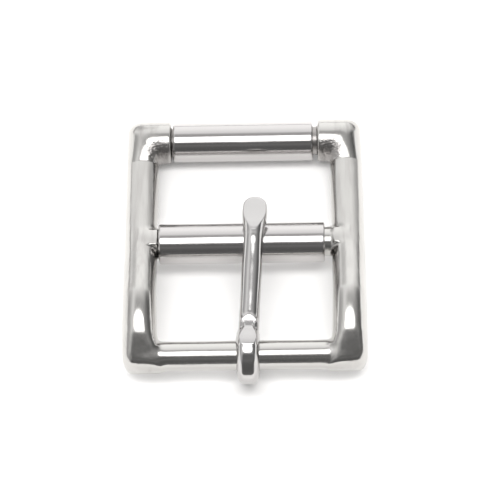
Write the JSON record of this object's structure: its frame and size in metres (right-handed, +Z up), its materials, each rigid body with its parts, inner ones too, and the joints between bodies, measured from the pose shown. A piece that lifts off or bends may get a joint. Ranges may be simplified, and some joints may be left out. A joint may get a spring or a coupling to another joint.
{
  "type": "roller girth buckle",
  "caption": "Polished steel girth buckle: a square cast frame with a roller on its end pin, a roller on its centre bar, and a hinged tongue that lies over the centre roller.",
  "frame": {"origin": "on the resting surface, in the middle of the buckle's box", "axes": "+X across the strap, +Y from the front bar to the end pin, +Z up from the surface that the buckle lies on"},
  "size_m": [0.0356, 0.0431, 0.0098],
  "materials": {
    "frame": "polished cast stainless steel, rough skin left in the rear corners",
    "roller": "polished stainless steel tube",
    "tongue": "polished forged stainless steel"
  },
  "bodies": {
    "frame": {"frame": "frame"},
    "end_roller": {"end_roller": "roller"},
    "centre_roller": {"centre_roller": "roller"},
    "tongue": {"tongue": "tongue"}
  },
  "joints": [
    {"name": "end_roller_spin", "type": "hinge", "parent": "frame", "child": "end_roller", "pos_m": [0, 0.01835, 0.00305], "axis": [1, 0, 0], "continuous": true},
    {"name": "centre_roller_spin", "type": "hinge", "parent": "frame", "child": "centre_roller", "pos_m": [0, 0.00075, 0.00415], "axis": [1, 0, 0], "continuous": true},
    {"name": "tongue_hinge", "type": "hinge", "parent": "frame", "child": "tongue", "pos_m": [0, -0.01735, 0.0042], "axis": [1, 0, 0], "range_deg": [0, 175]}
  ]
}
